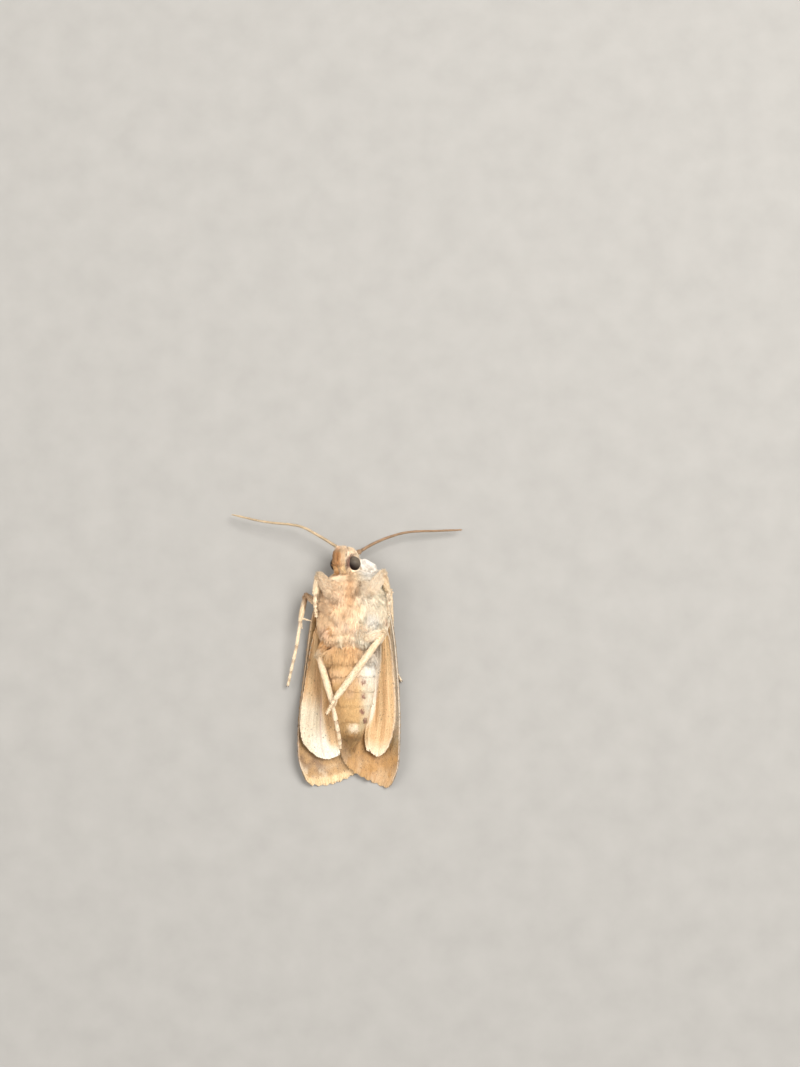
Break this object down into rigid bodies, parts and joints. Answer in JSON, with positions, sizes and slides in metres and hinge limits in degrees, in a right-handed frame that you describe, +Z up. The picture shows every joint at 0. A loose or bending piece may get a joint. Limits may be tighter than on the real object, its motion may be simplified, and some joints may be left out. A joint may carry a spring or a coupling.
{
  "type": "moth",
  "caption": "Life-size owlet moth lying on its back with folded wings, crossed hind legs and spread feelers, a still museum model.",
  "frame": {"origin": "on the floor, at the middle of the moth's footprint", "axes": "+Y from the wing tips towards the head, +X towards the moth's own left side, +Z up, which is the side of its belly"},
  "size_m": [0.0232, 0.0276, 0.0061],
  "materials": {
    "coat": "soft coat of long scales",
    "belly": "flat scales",
    "leg_scales": "flat scales",
    "wing_scales": "flat scales",
    "wing_pale": "flat scales, faint gloss",
    "eye": "glossy facets"
  },
  "bodies": {
    "root": {"head": "coat", "eye_left": "eye", "eye_right": "eye", "palp_left": "coat", "palp_right": "coat", "antenna_left": "leg_scales", "antenna_right": "leg_scales", "thorax": "coat", "tegula_left": "coat", "tegula_right": "coat", "abdomen": "belly", "forewing_left": "wing_scales", "forewing_right": "wing_scales", "hindwing_left": "wing_pale", "hindwing_right": "wing_pale", "leg_fore_left": "leg_scales", "leg_fore_right": "leg_scales", "leg_mid_left": "leg_scales", "leg_mid_right": "leg_scales", "leg_hind_left": "leg_scales", "leg_hind_right": "leg_scales"}
  },
  "joints": []
}
